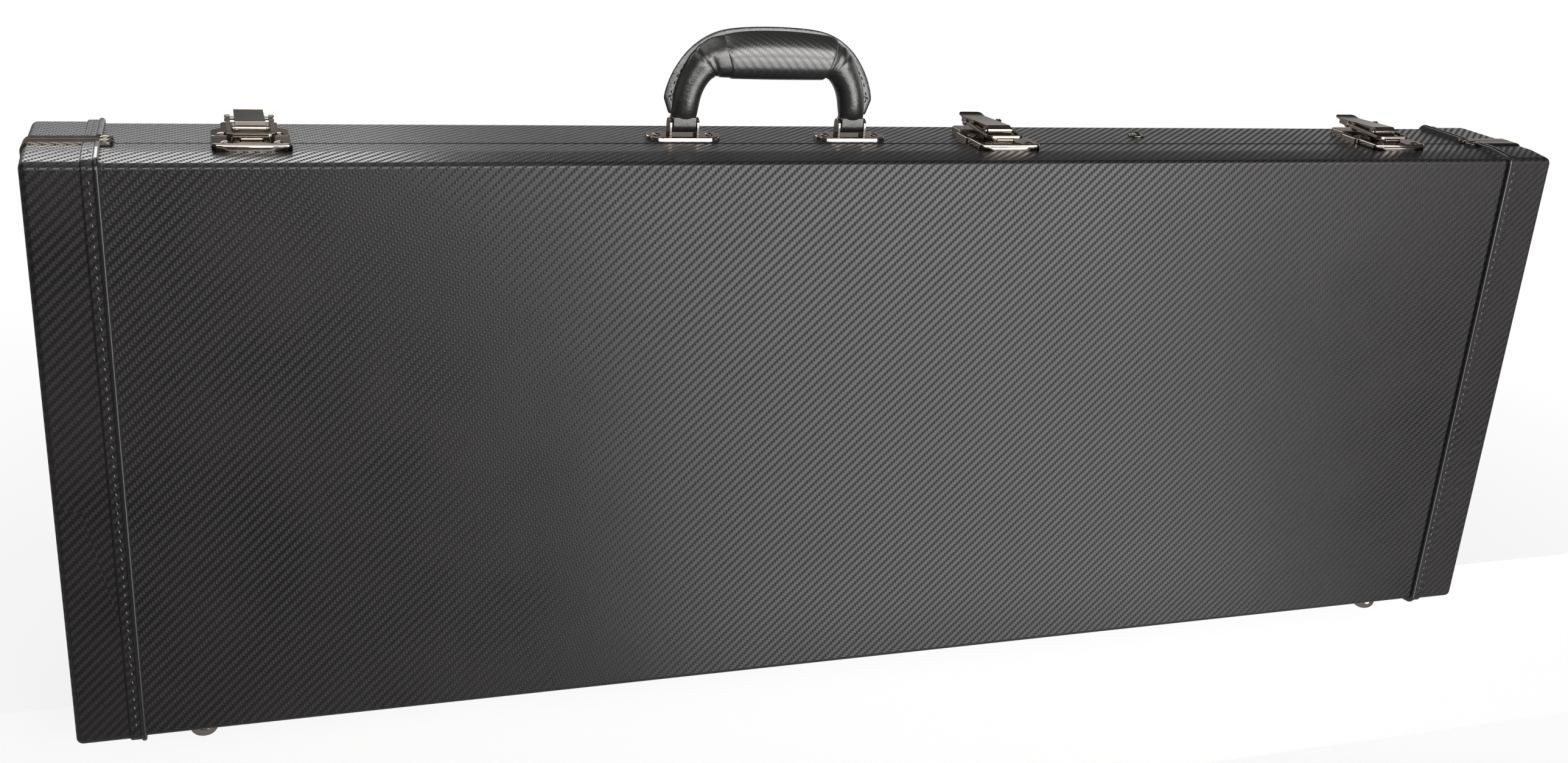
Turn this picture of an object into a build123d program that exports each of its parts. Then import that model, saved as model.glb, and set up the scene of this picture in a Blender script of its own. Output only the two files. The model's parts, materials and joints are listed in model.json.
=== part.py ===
from build123d import *
import math
import os

# Electric guitar case, standing on its hinge side, in millimetres.
# X runs along the case from the body end (-X) to the neck end (+X).
# Y runs from the lid's front panel (-Y) to the base's back panel (+Y).
# Z runs up from the feet to the side with the latches and the handle.

# Shells
case_length = 1040.0
case_width = 368.0
lid_depth = 44.0
base_depth = 58.0
wall = 5.0
seam_gap = 0.8
crown_depth = 20.0
crown_drop = 2.4
crown_round = 3.6
rear_round = 4.5
end_round = 3.0

# Vinyl end covers, their hem and the piping cord
cover_proud = 1.0
hem_proud = 2.2
hem_width = 6.5
piping_reach = 40.6
piping_width = 3.2
piping_proud = 3.3
piping_round = 1.4

# Metal strips that guard the rims at both ends
guard_reach = 47.0
guard_lid_width = 8.6
guard_base_width = 7.8
guard_thickness = 1.5
guard_tip_round = 3.6
guard_rivet_inset = 4.6
guard_gap = 0.3

# Linings, lip and lid pad
lining = 2.0
lip_thickness = 2.5
lip_in_base = 12.0
lip_in_lid = 7.0
lip_gap = 0.5
pad_thickness = 14.0
pad_length = 400.0
pad_width = 250.0
pad_round = 6.0
pad_end_gap = 40.0

# Padded blocks that hold the guitar
block_gap = 1.0
bout_radius = 171.0
corner_size = 120.0
waist_length = 150.0
waist_height = 34.0
waist_from_end = 247.0
shoulder_length = 78.0
shoulder_wall = 468.0
upper_bout_radius = 145.0
upper_bout_setback = 163.0
channel_width = 80.0
rest_thickness = 40.0
rest_notch_width = 62.0
rest_notch_depth = 24.0
rest_notch_round = 12.0

# Accessory compartment
compartment_wall = 6.0
compartment_lid_thickness = 3.5
compartment_lid_gap = 0.3
compartment_side_gap = 1.5
rail_width = 8.5
rail_lip_gap = 0.5
tab_width = 18.0
tab_length = 12.0
tab_thickness = 1.0

# Fasteners
fit = 0.05
rivet_head = 3.2
rivet_head_height = 1.1
rivet_shank = 1.6
shank_depth = 4.0
screw_head = 3.0
screw_head_height = 1.2

# Latches
latch_plate_width = 44.3
latch_plate_height = 4.0
plate_metal = 1.2
plate_corner = 3.0
keeper_depth = 22.5
keeper_height = 4.5
keeper_rivet_x = 14.5
keeper_rivet_y = 18.8
boss_width = 13.5
boss_depth = 7.0
boss_height = 1.7
boss_front = 13.0
latch_shoulder = 19.0
latch_lobe_width = 33.0
latch_base_depth = 41.0
latch_base_rivet_x = 16.0
latch_base_rivet_y = 7.0
latch_rear_rivet_y = 33.0
lever_pivot_y = 1.0
lever_pivot_z = 8.7
lever_width = 17.0
lever_nose = 3.8
lever_length = 41.0
lever_rear_drop = 1.9
lever_rear_height = 3.6
lever_metal = 1.2
lever_lift = 0.7
tab_reach = 7.0
tab_rise = 1.4
ear_gap = 0.3
ear_thickness = 1.2
ear_round = 2.6
ear_width = 6.5
pivot_pin = 1.2
pin_head = 2.0
pin_head_height = 0.6
loop_pin_reach = 25.5
loop_pin_rise = 0.5
loop_pin = 1.2
loop_side_gap = 2.5
loop_bar = 2.5
loop_thickness = 1.8
loop_nose = 14.5
loop_corner = 4.5
loop_eye = 2.3
loop_rest_gap = 0.3

# Handle
handle_plate_length = 49.0
handle_plate_width = 21.0
handle_plate_height = 2.6
handle_plate_metal = 1.0
handle_screw_spacing = 35.0
handle_spacing = 115.0
handle_behind_seam = 15.0
handle_pivot_height = 9.2
bracket_strap = 9.0
bracket_metal = 1.8
bracket_gap = 16.2
bracket_bar = 1.8
end_loop_width = 15.6
end_loop_radius = 5.0
end_loop_top = 5.4
grip_height = 42.3
grip_rise = 15.2
grip_half_depth = 12.5
grip_half_length = 36.0
leg_half_width = 9.3
leg_half_depth = 7.5
leg_swell = 10.9
flange_thickness = 3.2
flange_top = 60.8
flange_corner_x = 13.8
flange_corner_z = 17.8

# Places along the case, measured from its ends or its middle
outer_latch_from_end = 121.5
middle_latch_x = 83.0
handle_x = -76.5
stud_x = 205.6
stud_behind_seam = 26.0
stud_flange = 5.85
stud_flange_height = 1.0
stud_dome = 3.3
stud_dome_height = 2.2
stud_shank_depth = 18.0

# Feet and hinges
foot_height = 8.0
foot_radius = 8.8
foot_round = 6.2
foot_from_end = 74.0
foot_inset = 15.0
hinge_from_end = 190.0
hinge_length = 50.0
hinge_knuckles = 3
hinge_leaf = 24.0
hinge_metal = 1.5
hinge_pin = 1.5
hinge_knuckle_wall = 1.3
hinge_rivet_spacing = 30.0
hinge_rivet_y = 15.0
hinge_root_gap = 0.4
hinge_play = 0.2
small_hinge_knuckles = 7
small_hinge_leaf = 8.0
small_hinge_metal = 0.8
small_hinge_pin = 0.8
small_hinge_wall = 0.8
small_hinge_margin = 20.0

# Planes and places that follow from the sizes above
far = 2.0 * case_length
depth = lid_depth + base_depth
front_y = -depth / 2
back_y = depth / 2
seam_y = front_y + lid_depth
shell_bottom = foot_height
shell_top = foot_height + case_width
middle_z = (shell_bottom + shell_top) / 2
case_half = case_length / 2
panel_half = case_half - cover_proud
inner_half = panel_half - wall
bed_half = inner_half - lining
bed_bottom = shell_bottom + wall + lining
bed_top = shell_top - wall - lining
bed_back = back_y - wall - lining
bed_front = front_y + wall + lining
lip_inset = lining + lip_gap
block_front = seam_y + lip_in_base + block_gap
guard_base_row = seam_y + (seam_gap + guard_base_width) / 2
guard_lid_row = seam_y - (seam_gap + guard_lid_width) / 2
guard_corner = case_half - end_round - cover_proud
outer_latch_x = case_half - outer_latch_from_end
foot_x = case_half - foot_from_end
hinge_x = case_half - hinge_from_end
piping_in = case_half - piping_reach
cover_in = piping_in + piping_width
latch_places = [-outer_latch_x, middle_latch_x, outer_latch_x]
latch_names = ["body_end", "middle", "neck_end"]
handle_y = seam_y + handle_behind_seam
handle_axis_z = shell_top + handle_pivot_height
hinge_knuckle = hinge_pin + fit + hinge_knuckle_wall
hinge_face = hinge_knuckle + hinge_play
hinge_axis_z = shell_bottom - hinge_face
small_knuckle = small_hinge_pin + fit + small_hinge_wall
small_face = small_knuckle + hinge_play
rest_x = stud_x
shoulder_x = -bed_half + shoulder_wall
compartment_end_x = rest_x - rest_thickness / 2
compartment_lid_back = block_front - compartment_lid_gap
compartment_lid_front = compartment_lid_back - compartment_lid_thickness
rail_bottom = shell_bottom + wall + lip_inset + lip_thickness + rail_lip_gap
rail_top = rail_bottom + rail_width
small_axis_y = compartment_lid_front - small_face
small_axis_z = rail_top + hinge_root_gap
latch_plate_top = shell_top + latch_plate_height
pivot_y = seam_y + lever_pivot_y
pivot_z = shell_top + lever_pivot_z
loop_inner = lever_width / 2 + loop_side_gap
loop_outer = loop_inner + loop_bar


def block(x, y, z):
    """A box between two values on each axis."""
    size = [x[1] - x[0], y[1] - y[0], z[1] - z[0]]
    middle = [(x[0] + x[1]) / 2, (y[0] + y[1]) / 2, (z[0] + z[1]) / 2]
    return Pos(*middle) * Box(*size)


def rod_x(x, y, z, radius):
    """A round rod along X between two values."""
    return Pos((x[0] + x[1]) / 2, y, z) * Rot(0, 90, 0) * Cylinder(radius, x[1] - x[0])


def lid_side(shape, gap=seam_gap / 2):
    """What lies on the lid's side of the seam."""
    return shape & block((-far, far), (-far, seam_y - gap), (-far, far))


def base_side(shape, gap=seam_gap / 2):
    """What lies on the base's side of the seam."""
    return shape & block((-far, far), (seam_y + gap, far), (-far, far))


def other_end(shape):
    """The same piece at the body end of the case."""
    return mirror(shape, about=Plane.YZ)


# The closed case's outside


def case_section(grow):
    """The case's cross-section, with crowned front edges, made larger all round by grow."""
    y0 = front_y - grow
    y1 = back_y + grow
    z0 = shell_bottom - grow
    z1 = shell_top + grow
    crown = crown_depth + grow
    drop = crown_drop / crown_depth * crown
    corners = [
        (y0, z0 + drop), (y0 + crown, z0), (y1, z0),
        (y1, z1), (y0 + crown, z1), (y0, z1 - drop),
    ]
    section = make_face(Polyline(*corners, close=True))
    section = fillet(section.vertices().sort_by(Axis.X)[:2], crown_round + grow)
    return fillet(section.vertices().sort_by(Axis.X)[-2:], rear_round + grow)


def case_slab(x, grow):
    """A slice of the case between two places along it."""
    return extrude(Plane.YZ.offset(x[0]) * case_section(grow), x[1] - x[0])


def case_block(half, grow, end_radius):
    """The whole closed case as a solid block with rounded ends."""
    body = case_slab((-half, half), grow)
    ends = body.faces().sort_by(Axis.X)
    return fillet(ends[0].edges() + ends[-1].edges(), end_radius)


panel_block = case_block(panel_half, 0, end_round)
cover_block = case_block(case_half, cover_proud, end_round + cover_proud)


def inside(y, inset=0.0):
    """The case's hollow between two depths, smaller all round by inset."""
    half = inner_half - inset
    bottom = shell_bottom + wall + inset
    top = shell_top - wall - inset
    return block((-half, half), y, (bottom, top))


# Fasteners


def cap(radius, height):
    """A low dome on the plane z = 0."""
    ball = (radius**2 + height**2) / (2 * height)
    return Pos(0, 0, height - ball) * Sphere(ball) & block((-far, far), (-far, far), (0, far))


def rivet(head, head_height, shank, length):
    """A domed rivet or screw, standing up from the plane under its head."""
    return cap(head, head_height) + Pos(0, 0, -length / 2) * Cylinder(shank, length)


def bore(shank, length):
    """The hole that such a rivet goes into, from just above its head's plane."""
    reach = length + fit + 1.0
    return Pos(0, 0, 1.0 - reach / 2) * Cylinder(shank + fit, reach)


def on_top(x, y, z):
    """A place on the upper side, with the rivet's head up."""
    return Pos(x, y, z)


def below(x, y, z):
    """A place on the underside, with the rivet's head down."""
    return Pos(x, y, z) * Rot(180, 0, 0)


keeper_rivets = []
latch_rivets = []
for latch_x in latch_places:
    for side in (-1, 1):
        keeper_rivets.append(
            on_top(latch_x + side * keeper_rivet_x, seam_y - keeper_rivet_y, shell_top + keeper_height)
        )
        rivet_x = latch_x + side * latch_base_rivet_x
        latch_rivets.append(on_top(rivet_x, seam_y + latch_base_rivet_y, latch_plate_top))
    latch_rivets.append(on_top(latch_x, seam_y + latch_rear_rivet_y, latch_plate_top))

handle_screws = []
for side in (-1, 1):
    for end in (-1, 1):
        screw_x = handle_x + side * handle_spacing / 2 + end * handle_screw_spacing / 2
        handle_screws.append(on_top(screw_x, handle_y, shell_top + handle_plate_height))

hinge_places = [-hinge_x, 0.0, hinge_x]
hinge_base_rivets = []
hinge_lid_rivets = []
for place in hinge_places:
    for side in (-1, 1):
        rivet_x = place + side * hinge_rivet_spacing / 2
        hinge_base_rivets.append(below(rivet_x, seam_y + hinge_rivet_y, shell_bottom - hinge_metal))
        hinge_lid_rivets.append(below(rivet_x, seam_y - hinge_rivet_y, shell_bottom - hinge_metal))

guard_face = cover_proud + guard_thickness


def guard_rivet_places(row):
    """Where the strips' rivets go, along one side of the seam."""
    places = []
    for side in (-1, 1):
        tip_x = side * (case_half - guard_reach + guard_rivet_inset)
        end_x = side * (panel_half + guard_face)
        tip_z = case_width / 2 + cover_proud - guard_reach + guard_rivet_inset
        places.append(on_top(tip_x, row, shell_top + guard_face))
        places.append(below(tip_x, row, shell_bottom - guard_face))
        for up in (-1, 1):
            places.append(Pos(end_x, row, middle_z + up * tip_z) * Rot(0, side * 90, 0))
    return places


guard_base_rivets = guard_rivet_places(guard_base_row)
guard_lid_rivets = guard_rivet_places(guard_lid_row)


def rivet_group(*rows):
    """One body's rivets, each row given by its places and the height of the plate it goes through."""
    solids = []
    for places, plate in rows:
        one = rivet(rivet_head, rivet_head_height, rivet_shank, plate + shank_depth)
        solids += [place * one for place in places]
    return Compound(children=solids)


def rivet_bores(places, plate, depth_in=shank_depth):
    """The holes for such a group, to take from the plate and from the shell."""
    one = bore(rivet_shank, plate + depth_in)
    return [place * one for place in places]


# Lid and base shells

stud_place = on_top(stud_x, seam_y + stud_behind_seam, shell_top)
foot_places = {
    "lid": [(side * foot_x, front_y + foot_inset) for side in (-1, 1)],
    "base": [(side * foot_x, back_y - foot_inset) for side in (-1, 1)],
}


def foot_bores(places):
    """The holes for the feet's shanks in the shell's underside."""
    return [below(x, y, shell_bottom) * bore(rivet_shank, shank_depth) for x, y in places]


def lid_shell():
    shell = lid_side(panel_block) - inside((front_y + wall, seam_y))
    shell -= rivet_bores(keeper_rivets, keeper_height)
    shell -= rivet_bores(hinge_lid_rivets, hinge_metal)
    shell -= rivet_bores(guard_lid_rivets, guard_face)
    return shell - foot_bores(foot_places["lid"])


def base_shell():
    shell = base_side(panel_block) - inside((seam_y, back_y - wall))
    shell -= rivet_bores(latch_rivets, latch_plate_height)
    shell -= rivet_bores(hinge_base_rivets, hinge_metal)
    shell -= rivet_bores(guard_base_rivets, guard_face)
    shell -= rivet_bores(handle_screws, handle_plate_height)
    shell -= foot_bores(foot_places["base"])
    return shell - stud_place * bore(rivet_shank, stud_shank_depth)


def lid_lining():
    tray = inside((front_y + wall, seam_y - seam_gap / 2))
    return tray - inside((bed_front, seam_y), lining)


def base_lining():
    tray = inside((seam_y + seam_gap / 2, back_y - wall))
    tray -= inside((seam_y, bed_back), lining)
    return tray - stud_place * bore(rivet_shank, stud_shank_depth)


def rim_lip():
    """The covered strip that stands up inside the base's rim and locates the lid."""
    y = (seam_y - lip_in_lid, seam_y + lip_in_base)
    return inside(y, lip_inset) - inside(y, lip_inset + lip_thickness)


def lid_pad():
    left = -bed_half + pad_end_gap
    pad = block(
        (left, left + pad_length),
        (bed_front, bed_front + pad_thickness),
        (middle_z - pad_width / 2, middle_z + pad_width / 2),
    )
    return fillet(pad.faces().sort_by(Axis.Y)[-1].edges(), pad_round)


# End covers, piping and rim guards, made at the neck end


def guard_outline(row, width, gap=0.0):
    """All that lies under the strips of one row: along X to the corners, then up and down the end."""
    tip = RectangleRounded(2 * guard_reach, width + 2 * gap, guard_tip_round)
    top = Pos(case_half, row, 0) * extrude(tip, far, both=True)
    outline = top & block((0, guard_corner), (-far, far), (-far, far))
    for up in (-1, 1):
        z = middle_z + up * (case_width / 2 + cover_proud)
        outline += Pos(guard_corner, row, z) * Rot(0, 90, 0) * extrude(tip, case_half)
    return outline


def guards():
    """The strips of the lid's and the base's rim at one end, two of each."""
    strips = []
    for row, width in ((guard_lid_row, guard_lid_width), (guard_base_row, guard_base_width)):
        band = extrude(rim_outline(guard_thickness) - rim_outline(0), width)
        band = Pos(0, row + width / 2, middle_z) * Rot(90, 0, 0) * band
        strips.append(band & guard_outline(row, width))
    return strips


def rim_outline(grow):
    """The closed case seen from the front, in the plane of the seam, larger by grow."""
    corner = end_round + cover_proud + grow
    return RectangleRounded(2 * (case_half + grow), case_width + 2 * (cover_proud + grow), corner)


def guard_area(gap):
    """The space over both strips, and the seam between them, that piping and hem leave free."""
    y = (guard_lid_row - guard_lid_width / 2 - gap, guard_base_row + guard_base_width / 2 + gap)
    return block((case_half - guard_reach, far), y, (-far, far))


def end_cover():
    skin = cover_block & block((cover_in, far), (-far, far), (-far, far))
    hem = case_slab((cover_in, cover_in + hem_width), hem_proud)
    hem = fillet(hem.faces().sort_by(Axis.X)[-1].edges(), hem_proud - cover_proud)
    under = case_slab((case_half - guard_reach, cover_in + fit), cover_proud)
    cover = skin + (hem - guard_area(guard_gap))
    for row, width in ((guard_lid_row, guard_lid_width), (guard_base_row, guard_base_width)):
        cover += under & guard_outline(row, width)
    return cover - panel_block


def piping():
    ring = case_slab((piping_in, cover_in), piping_proud)
    faces = ring.faces().sort_by(Axis.X)
    ring = fillet(faces[0].edges() + faces[-1].edges(), piping_round)
    return ring - panel_block - guard_area(guard_gap)


# Hinges


def hinge(length, knuckles, leaf, metal, pin, knuckle_wall):
    """Fixed leaf towards +Y, moving leaf towards -Y and the pin, with the leaves' faces above the pin."""
    radius = pin + fit + knuckle_wall
    face = radius + hinge_play
    pitch = length / knuckles
    leaves = []
    for turn, side in enumerate((1, -1)):
        far_edge = side * leaf
        near_edge = side * (radius + hinge_play)
        plate = block((-length / 2, length / 2), sorted((near_edge, far_edge)), (face - metal, face))
        for number in range(turn, knuckles, 2):
            x = -length / 2 + number * pitch
            span = (x + hinge_play / 2, x + pitch - hinge_play / 2)
            root = sorted((side * hinge_root_gap / 2, near_edge + side * hinge_play))
            plate += block(span, root, (face - metal, face))
            plate += rod_x(span, 0, 0, radius)
        plate -= rod_x((-length, length), 0, 0, pin + fit)
        leaves.append(plate)
    return leaves[0], leaves[1], rod_x((-length / 2, length / 2), 0, 0, pin)


def case_hinges():
    fixed, moving, pin = hinge(
        hinge_length, hinge_knuckles, hinge_leaf, hinge_metal, hinge_pin, hinge_knuckle_wall
    )
    groups = []
    for piece, places in ((fixed, hinge_base_rivets), (moving, hinge_lid_rivets), (pin, [])):
        solids = []
        for x in hinge_places:
            one = Pos(x, seam_y, hinge_axis_z) * piece
            for hole in rivet_bores(places, hinge_metal, 0):
                one -= hole
            solids.append(one)
        groups.append(Compound(children=solids))
    return groups


# Feet and stud


def foot():
    dome = Pos(0, 0, foot_height / 2) * Cylinder(foot_radius, foot_height)
    dome = fillet(dome.edges().sort_by(Axis.Z)[-1], foot_round)
    shank = Pos(0, 0, -shank_depth / 2) * Cylinder(rivet_shank, shank_depth)
    return dome + shank


def feet(places):
    return Compound(children=[below(x, y, shell_bottom) * foot() for x, y in places])


def side_stud():
    stud = Pos(0, 0, stud_flange_height / 2) * Cylinder(stud_flange, stud_flange_height)
    stud += Pos(0, 0, stud_flange_height) * cap(stud_dome, stud_dome_height)
    stud += Pos(0, 0, -stud_shank_depth / 2) * Cylinder(rivet_shank, stud_shank_depth)
    return stud_place * stud


# Padded blocks


def upright(outline):
    """A block with this outline, seen from the front, from the lining to the blocks' common height."""
    return Pos(0, bed_back, 0) * Rot(90, 0, 0) * extrude(outline, bed_back - block_front)


def mirrored_up(shape):
    """The same block on the latch side."""
    return Pos(0, 0, 2 * middle_z) * mirror(shape, about=Plane.XY)


def corner_block():
    """The lower block at the body end, hollowed to the guitar's lower bout."""
    half = corner_size / 2
    square = Pos(-bed_half + half, bed_bottom + half) * Rectangle(corner_size, corner_size)
    bout = Pos(-bed_half + bout_radius, middle_z) * Circle(bout_radius)
    return upright(square - bout)


def waist_block():
    """The lower block that fills the guitar's waist."""
    x = -bed_half + waist_from_end
    left = (x - waist_length / 2, bed_bottom)
    right = (x + waist_length / 2, bed_bottom)
    crest = (x, bed_bottom + waist_height)
    return upright(make_face([ThreePointArc(left, crest, right), Line(right, left)]))


def shoulder_block():
    """The lower block between the guitar's upper bout and the neck."""
    low = bed_bottom
    high = middle_z - channel_width / 2
    x = (shoulder_x - shoulder_length, shoulder_x)
    outline = Pos((x[0] + x[1]) / 2, (low + high) / 2) * Rectangle(x[1] - x[0], high - low)
    bout = Pos(shoulder_x - upper_bout_setback, middle_z) * Circle(upper_bout_radius)
    return upright(outline - bout)


def neck_rest():
    """The upright block under the neck, with a rounded notch that the neck lies in."""
    x = (rest_x - rest_thickness / 2, rest_x + rest_thickness / 2)
    rest = block(x, (block_front, bed_back), (bed_bottom, bed_top))
    notch = RectangleRounded(2 * rest_notch_depth, rest_notch_width, rest_notch_round)
    notch = extrude(Plane.YZ.offset(x[0]) * Pos(block_front, middle_z) * notch, rest_thickness)
    return rest - notch - stud_place * bore(rivet_shank, stud_shank_depth)


# Accessory compartment beside the neck


def compartment_side(side):
    """The wall between the neck channel and the space beside it."""
    near = middle_z + side * channel_width / 2
    z = sorted((near, near + side * compartment_wall))
    return block((shoulder_x, compartment_end_x), (block_front, bed_back), z)


def compartment_rail():
    x = (shoulder_x, compartment_end_x)
    rail = block(x, (compartment_lid_front, bed_back), (rail_bottom, rail_top))
    foot_strip = block(x, (block_front, bed_back), (bed_bottom, rail_bottom))
    return rail + foot_strip


def compartment_lid():
    x = (shoulder_x + compartment_side_gap, compartment_end_x - compartment_side_gap)
    z = (small_axis_z + hinge_root_gap, middle_z - channel_width / 2)
    return block(x, (compartment_lid_front, compartment_lid_back), z)


def compartment_tab():
    """The ribbon tab glued on the lid's free edge."""
    x = (shoulder_x + compartment_end_x) / 2
    edge = middle_z - channel_width / 2
    flat = (compartment_lid_front - tab_thickness, compartment_lid_front)
    return block((x - tab_width / 2, x + tab_width / 2), flat, (edge - tab_length, edge + tab_length / 2))


def compartment_hinge():
    length = compartment_end_x - shoulder_x - 2 * small_hinge_margin
    parts = hinge(
        length, small_hinge_knuckles, small_hinge_leaf, small_hinge_metal, small_hinge_pin, small_hinge_wall
    )
    middle = (shoulder_x + compartment_end_x) / 2
    return [Pos(middle, small_axis_y, small_axis_z) * Rot(-90, 0, 0) * piece for piece in parts]


# Latches, made with X from the latch's middle, Y from the seam and Z from the case's top


def pressed_tray(outline, height):
    """A pressed plate with turned-down sides, open underneath."""
    tray = extrude(outline, height)
    tray = fillet(tray.faces().sort_by(Axis.Z)[-1].edges(), plate_metal * 0.8)
    return tray - extrude(offset(outline, -plate_metal), height - plate_metal)


def keeper():
    outline = Pos(0, -seam_gap / 2 - keeper_depth / 2) * RectangleRounded(
        latch_plate_width, keeper_depth, plate_corner
    )
    tray = pressed_tray(outline, keeper_height)
    boss = block(
        (-boss_width / 2, boss_width / 2),
        (-boss_front, -boss_front + boss_depth),
        (keeper_height - plate_metal / 2, keeper_height + boss_height),
    )
    boss = fillet(boss.faces().sort_by(Axis.Z)[-1].edges(), boss_height * 0.6)
    return tray + boss


def latch_outline():
    """The base plate seen from above: full width at the seam, a narrower lobe behind."""
    front = seam_gap / 2
    wide = latch_plate_width / 2
    narrow = latch_lobe_width / 2
    slope = wide - narrow
    corners = [
        (-wide, front),
        (wide, front),
        (wide, latch_shoulder),
        (narrow, latch_shoulder + slope),
        (narrow, latch_base_depth),
        (-narrow, latch_base_depth),
        (-narrow, latch_shoulder + slope),
        (-wide, latch_shoulder),
    ]
    face = make_face(Polyline(*corners, close=True))
    return fillet(face.vertices(), plate_corner)


def latch_base():
    tray = pressed_tray(latch_outline(), latch_plate_height)
    ear_in = lever_width / 2 + ear_gap
    for side in (-1, 1):
        x = sorted((side * ear_in, side * (ear_in + ear_thickness)))
        eye = rod_x(x, lever_pivot_y, lever_pivot_z, ear_round)
        root = latch_plate_height - plate_metal
        stem = Polyline(
            (lever_pivot_y - ear_round * 0.6, lever_pivot_z - ear_round * 0.8),
            (seam_gap, latch_plate_height),
            (seam_gap + plate_metal, root),
            (seam_gap + plate_metal + ear_width, root),
            (seam_gap + plate_metal + ear_width, latch_plate_height),
            (lever_pivot_y + ear_round, lever_pivot_z),
            close=True,
        )
        plate = extrude(Plane.YZ.offset(x[0]) * make_face(stem), ear_thickness)
        tray += plate + eye
    return tray - rod_x((-far, far), lever_pivot_y, lever_pivot_z, pivot_pin + fit)


def headed_pin(radius, reach):
    """A pin across the latch with a flat head at both ends."""
    pin = rod_x((-reach, reach), 0, 0, radius)
    for side in (-1, 1):
        pin += rod_x(sorted((side * reach, side * (reach + pin_head_height))), 0, 0, pin_head)
    return pin


def lever():
    """The pressed lever: a round nose on the pivot, a top that falls to the rear, and a finger tab."""
    nose_top = lever_pivot_z + lever_nose
    rear_y = lever_pivot_y + lever_length
    rear_z = nose_top - lever_rear_drop
    half = lever_width / 2
    belly = lever_pivot_z - lever_nose + lever_lift
    belly_y = lever_pivot_y + math.sqrt(lever_nose**2 - (lever_nose - lever_lift) ** 2)
    side = make_face(
        Polyline(
            (lever_pivot_y, nose_top),
            (rear_y, rear_z),
            (rear_y, rear_z - lever_rear_height),
            (belly_y, belly),
            (lever_pivot_y, lever_pivot_z),
            close=True,
        )
    ) + Pos(lever_pivot_y, lever_pivot_z) * Circle(lever_nose)
    body = extrude(Plane.YZ.offset(-half) * side, lever_width)
    hollow = make_face(
        Polyline(
            (lever_pivot_y, nose_top - lever_metal),
            (rear_y - lever_metal, rear_z - lever_metal),
            (rear_y - lever_metal, 0),
            (lever_pivot_y, 0),
            close=True,
        )
    ) + Pos(lever_pivot_y, lever_pivot_z) * Circle(lever_nose - lever_metal)
    inner = lever_width - 2 * lever_metal
    body -= extrude(Plane.YZ.offset(-inner / 2) * hollow, inner)
    tab = make_face(
        Polyline(
            (rear_y - lever_metal, rear_z),
            (rear_y + tab_reach, rear_z + tab_rise),
            (rear_y + tab_reach, rear_z + tab_rise - lever_metal),
            (rear_y - lever_metal, rear_z - lever_metal),
            close=True,
        )
    )
    tab = extrude(Plane.YZ.offset(-half) * tab, lever_width)
    tip = tab.edges().filter_by(Axis.Z).sort_by(Axis.Y)[-2:]
    body += fillet(tip, plate_corner)
    body -= rod_x((-far, far), lever_pivot_y, lever_pivot_z, pivot_pin + fit)
    eye_y = lever_pivot_y + loop_pin_reach
    return body - rod_x((-far, far), eye_y, lever_pivot_z + loop_pin_rise, loop_pin + fit)


def loop():
    """The flat loop: two arms from eyes on the lever to a bar that lies over the keeper's boss."""
    eye_y = lever_pivot_y + loop_pin_reach
    eye_z = lever_pivot_z + loop_pin_rise
    bar_z = keeper_height + boss_height + loop_rest_gap + loop_thickness / 2
    reach = eye_y + loop_nose
    fall = math.degrees(math.atan2(eye_z - bar_z, reach))
    length = reach + 2 * loop_corner
    outer = RectangleRounded(2 * loop_outer, length, loop_corner)
    inner = Pos(0, loop_bar) * RectangleRounded(2 * loop_inner, length, loop_corner - loop_bar / 2)
    front = Pos(0, loop_corner - reach / 2, 0) * (outer - inner)
    arms = extrude(front, loop_thickness / 2, both=True) & block((-far, far), (-far, 0), (-far, far))
    for side in (-1, 1):
        x = sorted((side * loop_inner, side * loop_outer))
        arms += rod_x(x, 0, 0, loop_eye)
        inner_end = lever_width / 2 - lever_metal - fit
        arms += rod_x(sorted((side * inner_end, side * loop_inner)), 0, 0, loop_pin)
        head = sorted((side * loop_outer, side * (loop_outer + pin_head_height)))
        arms += rod_x(head, 0, 0, pin_head)
    return Pos(0, eye_y, eye_z) * Rot(fall, 0, 0) * arms


# Handle, made with X from the handle's middle, Y and Z from its swing axis


def handle_plate():
    outline = SlotOverall(handle_plate_length, handle_plate_width)
    tray = extrude(outline, handle_plate_height)
    tray = fillet(tray.faces().sort_by(Axis.Z)[-1].edges(), handle_plate_metal * 0.8)
    return tray - extrude(offset(outline, -handle_plate_metal), handle_plate_height - handle_plate_metal)


def handle_bracket():
    """Two strap legs and the bar between them that the handle swings on."""
    drop = handle_pivot_height - handle_plate_height
    outer = bracket_gap / 2 + bracket_metal
    bracket = rod_x((-outer, outer), 0, 0, bracket_bar)
    for side in (-1, 1):
        x = sorted((side * bracket_gap / 2, side * outer))
        bracket += rod_x(x, 0, 0, bracket_strap / 2)
        bracket += block(x, (-bracket_strap / 2, bracket_strap / 2), (-drop, 0))
    return bracket


def end_loops():
    """The strap turned round each bar, up to the underside of the grip."""
    solids = []
    half = end_loop_width / 2
    for side in (-1, 1):
        x = side * handle_spacing / 2
        span = (x - half, x + half)
        strap = rod_x(span, 0, 0, end_loop_radius)
        strap += block(span, (-end_loop_radius, end_loop_radius), (0, end_loop_top))
        solids.append(strap - rod_x(span, 0, 0, bracket_bar + fit))
    return Compound(children=[Pos(handle_x, handle_y, handle_axis_z) * solid for solid in solids])


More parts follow.
